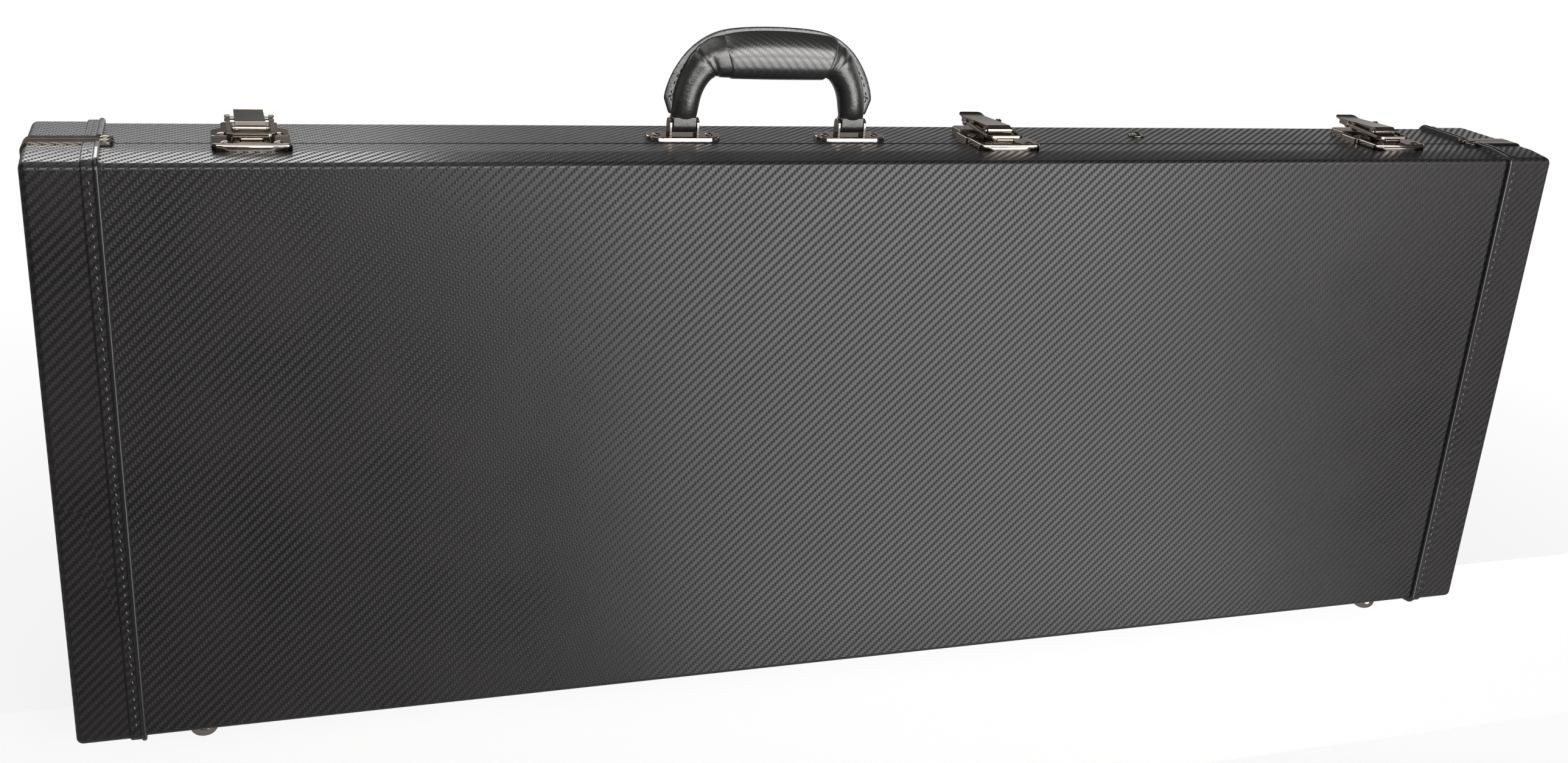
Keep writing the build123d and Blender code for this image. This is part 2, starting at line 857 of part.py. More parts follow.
def grip_stations():
    """Places along the right half of the grip: x, z, tilt, half height and half depth."""
    leg_x = handle_spacing / 2 + 0.8
    bend = (leg_swell + grip_rise) / 2
    return [
        (leg_x, end_loop_top, 90, leg_half_width, leg_half_depth),
        (leg_x - 0.6, end_loop_top + 13.0, 86, leg_swell, leg_half_depth + 1.5),
        (handle_spacing / 2 - 9.5, grip_height - 7.5, 45, bend - 1.0, grip_half_depth - 2.0),
        (grip_half_length, grip_height - 0.8, 4, grip_rise - 1.2, grip_half_depth - 0.5),
        (0.0, grip_height, 0, grip_rise, grip_half_depth),
    ]


def handle_grip():
    """The padded grip: a bent, swelling core with a sewn flange round its outer edge."""
    right = grip_stations()
    left = [(-x, z, -tilt, high, deep) for x, z, tilt, high, deep in right[:-1]]
    sections = []
    for x, z, tilt, high, deep in left + right[::-1]:
        place = Plane(origin=(x, 0, z), x_dir=(0, 1, 0), z_dir=_direction(tilt))
        sections.append(place * Ellipse(deep, high))
    core = loft(sections)
    return Pos(handle_x, handle_y, handle_axis_z) * (core + grip_flange())


def _direction(tilt):
    """The direction in which the grip runs, for its tilt below the level."""
    angle = math.radians(tilt)
    return (math.cos(angle), 0, -math.sin(angle))


def grip_flange():
    """The flat sewn edge, with a pointed corner above each leg."""
    stations = grip_stations()
    corner = (handle_spacing / 2 + flange_corner_x, flange_corner_z)
    foot_point = (handle_spacing / 2 + leg_half_width, end_loop_top)
    outer = [corner]
    for x, z, tilt, high, _ in stations[2:]:
        reach = flange_top - grip_height if tilt == 0 else high + 3.6
        angle = math.radians(90 - tilt)
        outer.append((x + reach * math.cos(angle), z + reach * math.sin(angle)))
    mirrored = [(-x, z) for x, z in outer[:-1]]
    inner = [(x, z) for x, z, _, _, _ in stations]
    inner_left = [(-x, z) for x, z in inner[:-1]]
    inner_line = Polyline(*(inner + inner_left[::-1]))
    outline = [
        Spline(*(outer + mirrored[::-1])),
        Polyline(corner, foot_point, inner[0]),
        inner_line,
        Polyline(inner_left[0], (-foot_point[0], foot_point[1]), (-corner[0], corner[1])),
    ]
    face = make_face(outline)
    return extrude(Plane.XZ * face, flange_thickness / 2, both=True)


def at_latch(piece, x):
    return Pos(x, seam_y, shell_top) * piece


def at_bracket(piece, side, lift):
    return Pos(handle_x + side * handle_spacing / 2, handle_y, shell_top + lift) * piece


def collect():
    """Every sub-part by its node's name."""
    hinge_base, hinge_lid, hinge_pins = case_hinges()
    small_fixed, small_moving, small_pin = compartment_hinge()
    cover = end_cover()
    cord = piping()
    lid_guard, base_guard = guards()
    parts = {
        "base_shell": base_shell(),
        "base_lining": base_lining(),
        "base_rim_lip": rim_lip(),
        "lid_shell": lid_shell(),
        "lid_lining": lid_lining(),
        "lid_pad": lid_pad(),
        "corner_block_lower": corner_block(),
        "corner_block_upper": mirrored_up(corner_block()),
        "waist_block_lower": waist_block(),
        "waist_block_upper": mirrored_up(waist_block()),
        "shoulder_block_lower": shoulder_block(),
        "shoulder_block_upper": mirrored_up(shoulder_block()),
        "neck_rest": neck_rest(),
        "compartment_wall": compartment_side(-1),
        "pocket_wall": compartment_side(1),
        "compartment_rail": compartment_rail(),
        "compartment_lid": compartment_lid(),
        "compartment_pull_tab": compartment_tab(),
        "compartment_hinge_fixed_leaf": small_fixed,
        "compartment_hinge_moving_leaf": small_moving,
        "compartment_hinge_pin": small_pin,
        "case_hinge_base_leaves": hinge_base,
        "case_hinge_lid_leaves": hinge_lid,
        "case_hinge_pins": hinge_pins,
        "base_feet": feet(foot_places["base"]),
        "lid_feet": feet(foot_places["lid"]),
        "side_stud": side_stud(),
        "base_rivets": rivet_group(
            (guard_base_rivets, guard_face),
            (latch_rivets, latch_plate_height),
            (hinge_base_rivets, hinge_metal),
        ),
        "lid_rivets": rivet_group(
            (guard_lid_rivets, guard_face),
            (keeper_rivets, keeper_height),
            (hinge_lid_rivets, hinge_metal),
        ),
    }
    ends = {"neck_end": lambda shape: shape, "body_end": other_end}
    for end, place in ends.items():
        parts[f"base_cover_{end}"] = drilled(base_side(place(cover)), guard_base_rivets, guard_face)
        parts[f"lid_cover_{end}"] = drilled(lid_side(place(cover)), guard_lid_rivets, guard_face)
        parts[f"base_rim_guard_{end}"] = drilled(place(base_guard), guard_base_rivets, guard_face)
        parts[f"lid_rim_guard_{end}"] = drilled(place(lid_guard), guard_lid_rivets, guard_face)
    cords = [cord, other_end(cord)]
    parts["base_piping"] = Compound(children=[base_side(one) for one in cords])
    parts["lid_piping"] = Compound(children=[lid_side(one) for one in cords])
    for x, name in zip(latch_places, latch_names):
        parts[f"keeper_{name}"] = drilled(at_latch(keeper(), x), keeper_rivets, keeper_height)
        parts[f"latch_base_{name}"] = drilled(at_latch(latch_base(), x), latch_rivets, latch_plate_height)
        parts[f"latch_lever_{name}"] = at_latch(lever(), x)
        parts[f"latch_loop_{name}"] = at_latch(loop(), x)
    pin = headed_pin(pivot_pin, lever_width / 2 + ear_gap + ear_thickness)
    parts["latch_pivot_pins"] = Compound(
        children=[Pos(x, pivot_y, pivot_z) * pin for x in latch_places]
    )
    plates = [at_bracket(handle_plate(), side, 0) for side in (-1, 1)]
    plates = [drilled(plate, handle_screws, handle_plate_height) for plate in plates]
    brackets = [at_bracket(handle_bracket(), side, handle_pivot_height) for side in (-1, 1)]
    parts["handle_plates"] = Compound(children=plates)
    parts["handle_brackets"] = Compound(children=brackets)
    screw = rivet(screw_head, screw_head_height, rivet_shank, handle_plate_height + shank_depth)
    parts["handle_plate_screws"] = Compound(children=[place * screw for place in handle_screws])
    parts["handle_end_loops"] = end_loops()
    parts["handle_grip"] = handle_grip()
    return parts


def drilled(shape, places, plate):
    """A plate or cover with the holes for the rivets through it."""
    return shape - rivet_bores(places, plate, 0)


os.makedirs("parts", exist_ok=True)
for node, shape in collect().items():
    export_step(shape, f"parts/{node}.step")
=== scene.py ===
import json
import math

import bmesh
import bpy
from mathutils import Matrix, Vector


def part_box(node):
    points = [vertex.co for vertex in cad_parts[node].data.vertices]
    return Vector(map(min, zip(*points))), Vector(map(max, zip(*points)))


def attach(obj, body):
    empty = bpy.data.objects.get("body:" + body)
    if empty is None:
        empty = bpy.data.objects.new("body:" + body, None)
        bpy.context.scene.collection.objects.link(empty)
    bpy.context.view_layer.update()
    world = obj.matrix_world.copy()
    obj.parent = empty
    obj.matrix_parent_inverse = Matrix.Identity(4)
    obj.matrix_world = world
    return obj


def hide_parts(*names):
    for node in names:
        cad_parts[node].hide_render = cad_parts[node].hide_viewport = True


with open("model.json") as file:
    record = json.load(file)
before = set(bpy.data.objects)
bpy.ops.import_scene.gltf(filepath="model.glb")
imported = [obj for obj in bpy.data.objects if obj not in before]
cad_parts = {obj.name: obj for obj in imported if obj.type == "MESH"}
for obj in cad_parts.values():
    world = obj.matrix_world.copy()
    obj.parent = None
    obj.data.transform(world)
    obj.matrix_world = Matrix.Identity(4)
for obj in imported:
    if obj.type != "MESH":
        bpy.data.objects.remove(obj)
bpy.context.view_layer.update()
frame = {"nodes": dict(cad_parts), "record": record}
nodes = frame["nodes"]

# Lengths are in metres. X runs towards the neck end, Y towards the back and Z up.
mm = 0.001

# Places that the frame gives
lid_low, lid_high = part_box("lid_shell")
base_low, base_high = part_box("base_shell")
front_y = lid_low.y
back_y = base_high.y
case_top = base_high.z
case_bottom = base_low.z
seam_y = (lid_high.y + base_low.y) / 2
handle_low, handle_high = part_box("handle_plates")
handle_x = (handle_low.x + handle_high.x) / 2
handle_y = (handle_low.y + handle_high.y) / 2
ends = (("body_end", -1), ("neck_end", 1))

# Twill pressed into the vinyl. The powers shape a float along it and across it, and a low power gives it
# a flat top with steep sides.
tow = 1.61 * mm
tow_relief = 0.15 * mm
notch_depth = 0.12
rib_powers = (0.15, 0.3)
pit_powers = (0.7, 0.7)
pit_roughness = 0.75
rib_roughness = 0.26
cover_relief = tow_relief * 0.4
sleeve_tow = tow * 0.92
sleeve_relief = tow_relief * 0.75

# Other marks on the vinyl
patch_size = 60 * mm
wave_size = 35 * mm
wave_depth = 0.1 * mm
wrinkle_size = 2.2 * mm
grain_size = 0.45 * mm
sleeve_grain_size = 0.5 * mm
sleeve_grain_depth = 0.05 * mm

# Piping
ripple_size = 4 * mm
ripple_depth = 0.12 * mm
scuff_size = 1.2 * mm

# Leather
fold_depth = 0.5 * mm
crease_size = 1.8 * mm
crease_depth = 0.16 * mm
pore_size = 0.9 * mm
pore_depth = 0.08 * mm

# Polished metal
haze_size = 9 * mm
haze_depth = 0.04 * mm
hairline_size = 0.5 * mm
hairline_depth = 0.003 * mm

# Plush, ribbon and thread
crush_size = 28 * mm
crush_depth = 1.2 * mm
pile_size = 0.7 * mm
pile_depth = 0.45 * mm
ribbon_rib = 0.8 * mm
ribbon_warp = 0.5 * mm
ribbon_depth = 0.12 * mm
twist_size = 0.35 * mm
twist_depth = 0.08 * mm

# A face looks along an axis where its normal has more of that axis than this
facing_share = 0.7

# In a copy of a CAD piece, corners this near are joined, faces this flat are made whole again, and edges
# sharper than this are rolled over
weld_reach = 0.01 * mm
flat_angle = math.radians(1)
sharp_angle = math.radians(35)

# Pressed shape of the keepers. Their front bows over strips, this many in each half.
keeper_rise = 4.5 * mm
keeper_roll = 1.3 * mm
keeper_rear_roll = 0.8 * mm
keeper_lean = 1.0 * mm
keeper_bow = 1.1 * mm
keeper_front = 2.2 * mm
keeper_front_rim = 2.4 * mm
keeper_level = 0.05 * mm
keeper_strips = 4

# Front walls of the handle's plates
plate_lean = 0.4 * mm
plate_front_share = 0.3

# How far the edges of stamped metal are rolled over, in millimetres
metal_rolls = {
    "rim_guard": 0.9,
    "lever": 0.8,
    "loop": 1.1,
    "handle_plates": 0.5,
    "bracket": 0.7,
    "latch_base": 0.7,
}
small_metal_roll = 0.45

# Seam between the lid and the base, and how near to it and to the outer faces its rolled edges are
seam_half = 0.4 * mm
seam_roll = 1.2 * mm
seam_reach = 0.15 * mm
face_reach = 0.3 * mm
end_reach = 4 * mm

# Edges of the covered pieces
cover_roll = 0.9 * mm
board_roll = 0.7 * mm

# Foam blocks under plush
foam_voxel = 4 * mm
foam_smoothing = 0.5
foam_rounds = 5

# Hem of the end covers, measured from the middle of the case
hem_inner = 482.6 * mm
hem_proud = 2.2 * mm
stitch_inset = 2.4 * mm

# Where the hem's stitches stop before an edge
crown_gap_low = 10 * mm
crown_gap_high = 9 * mm
crown_gap = 13 * mm
seam_gap = 11 * mm
back_gap = 8 * mm

# Stitches: from one to the next, length and half the thread's width
hem_stitch = (6.0 * mm, 2.4 * mm, 0.38 * mm)
hem_slant = 0.25
grip_stitch = (4.0 * mm, 2.8 * mm, 0.45 * mm)

# Camera, fitted to the edges of the case in the photograph
image_width = 2576
image_height = 1254
focal_px = 2752.4882
centre_px = (1351.0167, 710.5235)
camera_place = Vector((-0.4208514, -1.0326228, 0.6011121))
camera_yaw = 0.3665
camera_pitch = 0.3734
camera_roll = -0.0788
sensor_width = 36.0

# Light of the dark room round the white backdrop
dark_room = 0.08

# Where the backdrop begins and ends along each axis, and how white it is at both
backdrop_spans = (
    ("X", (0.0, 0.25, 0.25, 1.0)),
    ("Y", (-0.3, 0.15, dark_room, 1.0)),
    ("Z", (0.04, 0.36, 1.0, dark_room)),
)

# How strongly the surroundings light what isn't glossy
room_strength = 0.35

# Floor, with its step between the two rows of feet
floor_reach = 4.0
floor_edge = seam_y + 21 * mm
floor_drop = -0.17
floor_front = -0.32
floor_grey = (0.8, 0.8, 0.8, 1)
floor_glow = 0.3
floor_near = 0.45
floor_far = 1.1
floor_near_share = 0.8


# Materials


class Paint:
    """A material's node tree, built with short calls."""

    def __init__(self, name, **settings):
        self.material = bpy.data.materials.new(name)
        self.material.use_nodes = True
        self.tree = self.material.node_tree
        self.tree.nodes.clear()
        self.shader = self.add("ShaderNodeBsdfPrincipled")
        output = self.add("ShaderNodeOutputMaterial")
        self.wire(self.shader.outputs[0], output.inputs["Surface"])
        self.coordinates = self.add("ShaderNodeTexCoord")
        for socket, value in settings.items():
            self.shader.inputs[socket.replace("_", " ")].default_value = value

    def add(self, kind, **values):
        """A new node with the given settings."""
        node = self.tree.nodes.new(kind)
        for name, value in values.items():
            setattr(node, name, value)
        return node

    def wire(self, source, target):
        """Links a socket to another, or writes a plain value into it."""
        if isinstance(source, bpy.types.NodeSocket):
            self.tree.links.new(source, target)
        else:
            target.default_value = source

    def math(self, operation, *values):
        """One number worked out from others."""
        node = self.add("ShaderNodeMath", operation=operation)
        for socket, value in zip(node.inputs, values):
            self.wire(value, socket)
        return node.outputs[0]

    def axes(self, output="Object"):
        """The three numbers of a place or direction on the piece."""
        node = self.add("ShaderNodeSeparateXYZ")
        self.wire(self.coordinates.outputs[output], node.inputs[0])
        return node.outputs

    def noise(self, size, detail=3.0, roughness=0.5, stretch=(1, 1, 1)):
        """Smooth noise whose features are about one size long, in metres."""
        mapping = self.add("ShaderNodeMapping")
        self.wire(self.coordinates.outputs["Object"], mapping.inputs["Vector"])
        mapping.inputs["Scale"].default_value = [1 / value for value in stretch]
        node = self.add("ShaderNodeTexNoise")
        self.wire(mapping.outputs[0], node.inputs["Vector"])
        node.inputs["Scale"].default_value = 1 / size
        node.inputs["Detail"].default_value = detail
        node.inputs["Roughness"].default_value = roughness
        return node.outputs[0]

    def cells(self, size, feature="SMOOTH_F1"):
        """Pebbled cells, low at their middles."""
        node = self.add("ShaderNodeTexVoronoi", feature=feature)
        self.wire(self.coordinates.outputs["Object"], node.inputs["Vector"])
        node.inputs["Scale"].default_value = 1 / size
        return node.outputs["Distance"]

    def span(self, value, low, high, start=0.0, end=1.0, smooth=False):
        """Carries a value from one range to another and stops at both ends."""
        node = self.add("ShaderNodeMapRange")
        if smooth:
            node.interpolation_type = "SMOOTHSTEP"
        for socket, number in zip(node.inputs, (value, low, high, start, end)):
            self.wire(number, socket)
        return node.outputs[0]

    def blend(self, share, first, second):
        """A colour between two colours."""
        node = self.add("ShaderNodeMix", data_type="RGBA")
        self.wire(share, node.inputs["Factor"])
        self.wire(first, node.inputs[6])
        self.wire(second, node.inputs[7])
        return node.outputs[2]

    def between(self, share, first, second):
        """A number between two numbers."""
        node = self.add("ShaderNodeMix", data_type="FLOAT")
        self.wire(share, node.inputs["Factor"])
        self.wire(first, node.inputs[2])
        self.wire(second, node.inputs[3])
        return node.outputs[0]

    def bump(self, height, distance, strength=1.0, under=None):
        """Relief as deep as the distance, over the relief that lies under it."""
        node = self.add("ShaderNodeBump")
        self.wire(height, node.inputs["Height"])
        self.wire(distance, node.inputs["Distance"])
        self.wire(strength, node.inputs["Strength"])
        if under is not None:
            self.wire(under, node.inputs["Normal"])
        return node.outputs[0]

    def colour(self, value):
        self.wire(value, self.shader.inputs["Base Color"])

    def roughness(self, value):
        self.wire(value, self.shader.inputs["Roughness"])

    def normal(self, value):
        self.wire(value, self.shader.inputs["Normal"])


def grey(value, warm=0.0):
    """A grey, warmer where warm is above 0."""
    return (value * (1 + warm), value, value * (1 - warm), 1.0)


def violet_black(value):
    """The black of the vinyl, a little violet."""
    return (value * 1.08, value * 0.93, value * 1.08, 1.0)


def panel_coordinates(paint):
    """Places on the vinyl as it was cut: along the case, and round it from the front over the top."""
    x, y, z = paint.axes()
    _, facing_back, facing_up = paint.axes("Normal")
    side = paint.math("SIGN", facing_up)
    round_edge = paint.math("MULTIPLY_ADD", paint.math("SUBTRACT", y, front_y), side, z)
    behind = paint.math("SUBTRACT", 2 * case_top + back_y - front_y, z)
    on_back = paint.math("GREATER_THAN", facing_back, facing_share)
    return x, paint.between(on_back, round_edge, behind)


def end_coordinates(paint):
    """The same, but on the flat ends of the case from front to back."""
    along, round_case = panel_coordinates(paint)
    _, y, z = paint.axes()
    facing_end = paint.math("ABSOLUTE", paint.axes("Normal")[0])
    on_end = paint.math("GREATER_THAN", facing_end, facing_share)
    return paint.between(on_end, along, y), paint.between(on_end, round_case, z)


def twill(paint, across, up, width):
    """The height of an embossed two-and-two twill: flat ribs near 1, and pits between them down to 0."""
    column = paint.math("DIVIDE", across, width)
    row = paint.math("DIVIDE", up, width)
    in_column = paint.math("FRACT", column)
    in_row = paint.math("FRACT", row)
    step = paint.math("SUBTRACT", paint.math("FLOOR", column), paint.math("FLOOR", row))
    step = paint.math("FLOORED_MODULO", step, 4.0)
    upright = paint.math("LESS_THAN", step, 1.5)
    along_upright = paint.math("ADD", in_row, paint.math("LESS_THAN", step, 0.5))
    along_level = paint.math("ADD", in_column, paint.math("GREATER_THAN", step, 2.5))
    rib = arches(paint, along_level, in_row, *rib_powers)
    pit = arches(paint, along_upright, in_column, *pit_powers)
    rib_height = paint.span(rib, 0.0, 1.0, 1 - notch_depth, 1.0)
    pit_height = paint.span(pit, 0.0, 1.0, 1.0, 0.0)
    return paint.between(upright, rib_height, pit_height)


def arches(paint, along, over, along_power, over_power):
    """1 in the middle of a float two tows long and 0 round it."""
    arch = paint.math("SINE", paint.math("MULTIPLY", along, math.pi / 2))
    dome = paint.math("SINE", paint.math("MULTIPLY", over, math.pi))
    arch = paint.math("POWER", paint.math("MAXIMUM", arch, 0.0), along_power)
    dome = paint.math("POWER", paint.math("MAXIMUM", dome, 0.0), over_power)
    return paint.math("MULTIPLY", arch, dome)


def vinyl(name, coordinates, relief, grain, crown, pit_shade, wrinkle=0.0):
    """Black vinyl with a fine leather grain, some wrinkles and the twill pressed into it. Its pits are
    painted darker as shade.
    """
    paint = Paint(name, Specular_IOR_Level=0.62)
    across, up = coordinates(paint)
    height = twill(paint, across, up, tow)
    lift = paint.span(height, 0.1, 0.9)
    patches = paint.span(paint.noise(patch_size, detail=2), 0.3, 0.7)
    worn = paint.blend(patches, violet_black(crown), violet_black(crown * 1.4))
    # The pits take the darker colour: painted shade in the hollows of the twill.
    paint.colour(paint.blend(lift, violet_black(pit_shade), worn))
    gloss = paint.span(height, 0.3, 1.0, pit_roughness, rib_roughness)
    paint.roughness(paint.math("ADD", gloss, paint.span(patches, 0.0, 1.0, -0.015, 0.025)))
    fine = paint.bump(paint.noise(grain_size, detail=4, roughness=0.65), grain, strength=0.7)
    wave = paint.bump(paint.noise(wave_size, detail=2), wave_depth, under=fine)
    if wrinkle:
        wave = paint.bump(paint.noise(wrinkle_size, detail=3, roughness=0.6), wrinkle, under=wave)
    paint.normal(paint.bump(height, relief, under=wave))
    return paint.material


def panel_vinyl():
    """The vinyl of the lid and the base."""
    return vinyl(
        "panel_vinyl", panel_coordinates,
        # The pits' darker colour is painted shade.
        relief=tow_relief, grain=0.006 * mm, crown=0.009, pit_shade=0.005,
    )


def cover_vinyl():
    """The end covers' vinyl, with a fainter twill and more wrinkles."""
    return vinyl(
        "cover_vinyl", end_coordinates,
        # The pits' darker colour is painted shade.
        relief=cover_relief, grain=0.02 * mm, crown=0.009, pit_shade=0.006, wrinkle=0.09 * mm,
    )


def piping_vinyl():
    """Glossy cord with faint ripples along it, their troughs painted darker as shade."""
    paint = Paint("piping_vinyl", Specular_IOR_Level=0.6, Coat_Weight=0.3, Coat_Roughness=0.12)
    ripple = paint.noise(ripple_size, detail=2)
    # The ripples' troughs take the darker colour: painted shade.
    paint.colour(paint.blend(ripple, grey(0.008), grey(0.02)))
    paint.roughness(paint.span(paint.noise(scuff_size), 0.3, 0.7, 0.2, 0.32))
    paint.normal(paint.bump(ripple, ripple_depth))
    return paint.material


def leather(name, crown, fold_size, stretch=(1, 1, 1)):
    """Soft black leather with folds, creases and pores, the hollows of its folds painted darker as shade."""
    paint = Paint(name, Specular_IOR_Level=1.0, Coat_Weight=0.7, Coat_Roughness=0.28)
    folds = paint.noise(fold_size, detail=3, roughness=0.55, stretch=stretch)
    pores = paint.cells(pore_size)
    lift = paint.span(folds, 0.35, 0.65)
    # The fold hollows take the darker colour: painted shade.
    paint.colour(paint.blend(lift, grey(crown * 0.45), grey(crown, 0.03)))
    gloss = paint.span(pores, 0.1, 0.7, 0.24, 0.38)
    gloss = paint.math("ADD", gloss, paint.span(folds, 0.3, 0.7, 0.06, -0.04))
    paint.roughness(gloss)
    creased = paint.bump(paint.noise(crease_size, detail=3, roughness=0.65, stretch=stretch), crease_depth)
    pored = paint.bump(pores, pore_depth, strength=0.8, under=creased)
    paint.normal(paint.bump(folds, fold_depth, strength=0.8, under=pored))
    return paint.material


def grip_twill():
    """The sleeve's vinyl, with its ribs falling to the neck end and its pits painted darker as shade."""
    paint = Paint("grip_twill", Specular_IOR_Level=1.0, Coat_Weight=1.0, Coat_Roughness=0.26)
    x, y, z = paint.axes()
    down = paint.math("SUBTRACT", paint.math("ABSOLUTE", paint.math("SUBTRACT", y, handle_y)), z)
    height = twill(paint, x, down, sleeve_tow)
    # The pits take the darker colour: painted shade in the hollows of the twill.
    paint.colour(paint.blend(paint.span(height, 0.1, 0.9), grey(0.005), grey(0.02, 0.02)))
    paint.roughness(paint.span(height, 0.3, 1.0, 0.5, 0.27))
    grain = paint.noise(sleeve_grain_size, detail=4, roughness=0.6)
    fine = paint.bump(grain, sleeve_grain_depth, strength=0.7)
    paint.normal(paint.bump(height, sleeve_relief, under=fine))
    return paint.material


def black_nickel():
    """Polished black nickel plate with hairline polishing marks and a faint haze."""
    paint = Paint("black_nickel", Metallic=1.0, Specular_Tint=(0.5, 0.48, 0.46, 1.0))
    haze = paint.noise(haze_size)
    hairlines = paint.noise(hairline_size, roughness=0.6, stretch=(8, 1, 1))
    paint.colour(paint.blend(haze, grey(0.28, 0.1), grey(0.37, 0.12)))
    gloss = paint.span(haze, 0.3, 0.7, 0.07, 0.11)
    paint.roughness(paint.math("ADD", gloss, paint.span(hairlines, 0.4, 0.7, 0.0, 0.04)))
    waves = paint.bump(haze, haze_depth)
    paint.normal(paint.bump(hairlines, hairline_depth, under=waves))
    return paint.material


def plush():
    """Short crushed pile, lighter at grazing angles, with the hollows of the crush and the pile painted
    darker as shade.
    """
    paint = Paint("plush", Sheen_Weight=0.35, Sheen_Roughness=0.45, Specular_IOR_Level=0.15)
    crush = paint.noise(crush_size, detail=4, roughness=0.55)
    pile = paint.noise(pile_size, roughness=0.7)
    lift = paint.math("MULTIPLY", paint.span(crush, 0.3, 0.7), paint.span(pile, 0.3, 0.7, 0.6, 1.0))
    # The hollows of the crush and the pile take the darker colour: painted shade.
    paint.colour(paint.blend(lift, grey(0.008), grey(0.03)))
    paint.roughness(paint.span(pile, 0.3, 0.7, 0.8, 0.95))
    soft = paint.bump(crush, crush_depth)
    paint.normal(paint.bump(pile, pile_depth, under=soft))
    return paint.material


def ribbon():
    """Woven tape with crosswise ribs, painted darker between its threads as shade."""
    paint = Paint("ribbon", Sheen_Weight=0.25, Specular_IOR_Level=0.3)
    x, _, z = paint.axes()
    rib = paint.math("ABSOLUTE", paint.math("SINE", paint.math("MULTIPLY", z, math.pi / ribbon_rib)))
    warp = paint.math("ABSOLUTE", paint.math("SINE", paint.math("MULTIPLY", x, math.pi / ribbon_warp)))
    weave = paint.math("MULTIPLY", rib, warp)
    # The gaps between the threads take the darker colour: painted shade.
    paint.colour(paint.blend(weave, grey(0.008), grey(0.035)))
    paint.roughness(paint.span(weave, 0.0, 1.0, 0.85, 0.6))
    paint.normal(paint.bump(weave, ribbon_depth))
    return paint.material


def thread(name, colour):
    """Twisted thread, the grooves of its twist painted darker as shade."""
    paint = Paint(name, Specular_IOR_Level=0.4)
    twist = paint.noise(twist_size, detail=2, roughness=0.6)
    # The darker colour goes into the twist's grooves: painted shade.
    dark = [channel * 0.5 for channel in colour[:3]] + [1.0]
    paint.colour(paint.blend(twist, dark, colour))
    paint.roughness(paint.span(twist, 0.3, 0.7, 0.6, 0.45))
    paint.normal(paint.bump(twist, twist_depth))
    return paint.material


materials = {
    "panel": panel_vinyl(),
    "cover": cover_vinyl(),
    "piping": piping_vinyl(),
    "metal": black_nickel(),
    "plush": plush(),
    "ribbon": ribbon(),
    "strap": leather("strap_leather", crown=0.012, fold_size=14 * mm),
    "leather": leather("grip_leather", crown=0.02, fold_size=7 * mm, stretch=(1.6, 1, 1)),
    "sleeve": grip_twill(),
    "pale_thread": thread("pale_thread", (0.32, 0.29, 0.25, 1.0)),
    "dark_thread": thread("dark_thread", grey(0.012)),
}

slot_materials = {
    "vinyl": "panel",
    "cover_vinyl": "cover",
    "piping": "piping",
    "plush": "plush",
    "ribbon": "ribbon",
    "dark_nickel": "metal",
    "strap": "strap",
}


def dress_nodes():
    """Gives each node of the frame the material of its slot."""
    for part in frame["record"]["subparts"]:
        mesh = nodes[part["node"]].data
        material = materials[slot_materials[part["material_slot"]]]
        if not mesh.materials:
            mesh.materials.append(material)
        for place in range(len(mesh.materials)):
            mesh.materials[place] = material


# Pieces


def piece(name, bm, material, body, levels=0):
    """A new piece from a bmesh, smooth, riding on its body."""
    bmesh.ops.recalc_face_normals(bm, faces=bm.faces)
    mesh = bpy.data.meshes.new(name)
    bm.to_mesh(mesh)
    bm.free()
    mesh.shade_smooth()
    mesh.materials.append(materials[material])
    thing = bpy.data.objects.new(name, mesh)
    bpy.context.collection.objects.link(thing)
    if levels:
        rounder = thing.modifiers.new("rounder", "SUBSURF")
        rounder.levels = levels
        rounder.render_levels = levels
    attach(thing, body)
    return thing


def ring(bm, centre, direction, high, deep, sides):
    """One elliptic ring across a run in the plane of the handle."""
    forward = Vector((direction[0], 0, direction[1])).normalized()
    inward = Vector((-forward.z, 0, forward.x))
    frame_matrix = Matrix.Identity(4)
    frame_matrix.col[0].xyz = Vector((0, 1, 0)) * deep
    frame_matrix.col[1].xyz = inward * high
    frame_matrix.col[2].xyz = forward
    frame_matrix.translation = centre
    made = bmesh.ops.create_circle(bm, segments=sides, radius=1.0, matrix=frame_matrix)
    edges = {edge for vert in made["verts"] for edge in vert.link_edges}
    return list(edges)


def run(bm, stations, sides):
    """A closed run through rings. A station is x, z, half height and half depth from the handle's middle."""
    rings = []
    for number, (x, z, high, deep) in enumerate(stations):
        before = stations[max(number - 1, 0)]
        after = stations[min(number + 1, len(stations) - 1)]
        direction = (after[0] - before[0], after[1] - before[1])
        centre = Vector((handle_x + x * mm, handle_y, case_top + z * mm))
        rings.append(ring(bm, centre, direction, high * mm, deep * mm, sides))
    for first, second in zip(rings, rings[1:]):
        bmesh.ops.bridge_loops(bm, edges=first + second)
    for end in (rings[0], rings[-1]):
        bmesh.ops.contextual_create(bm, geom=end)


def body_of(node):
    """The body that a CAD node belongs to."""
    bodies = frame["record"]["behaviour"]["bodies"]
    return next(name for name, members in bodies.items() if node in members)


def copy_of(node):
    """A bmesh in the shape of a CAD node, with its flat faces whole again."""
    bm = bmesh.new()
    bm.from_mesh(nodes[node].data)
    bmesh.ops.remove_doubles(bm, verts=bm.verts, dist=weld_reach)
    bmesh.ops.dissolve_limit(
        bm, angle_limit=flat_angle, use_dissolve_boundaries=False,
        verts=bm.verts, edges=bm.edges, delimit=set(),
    )
    return bm


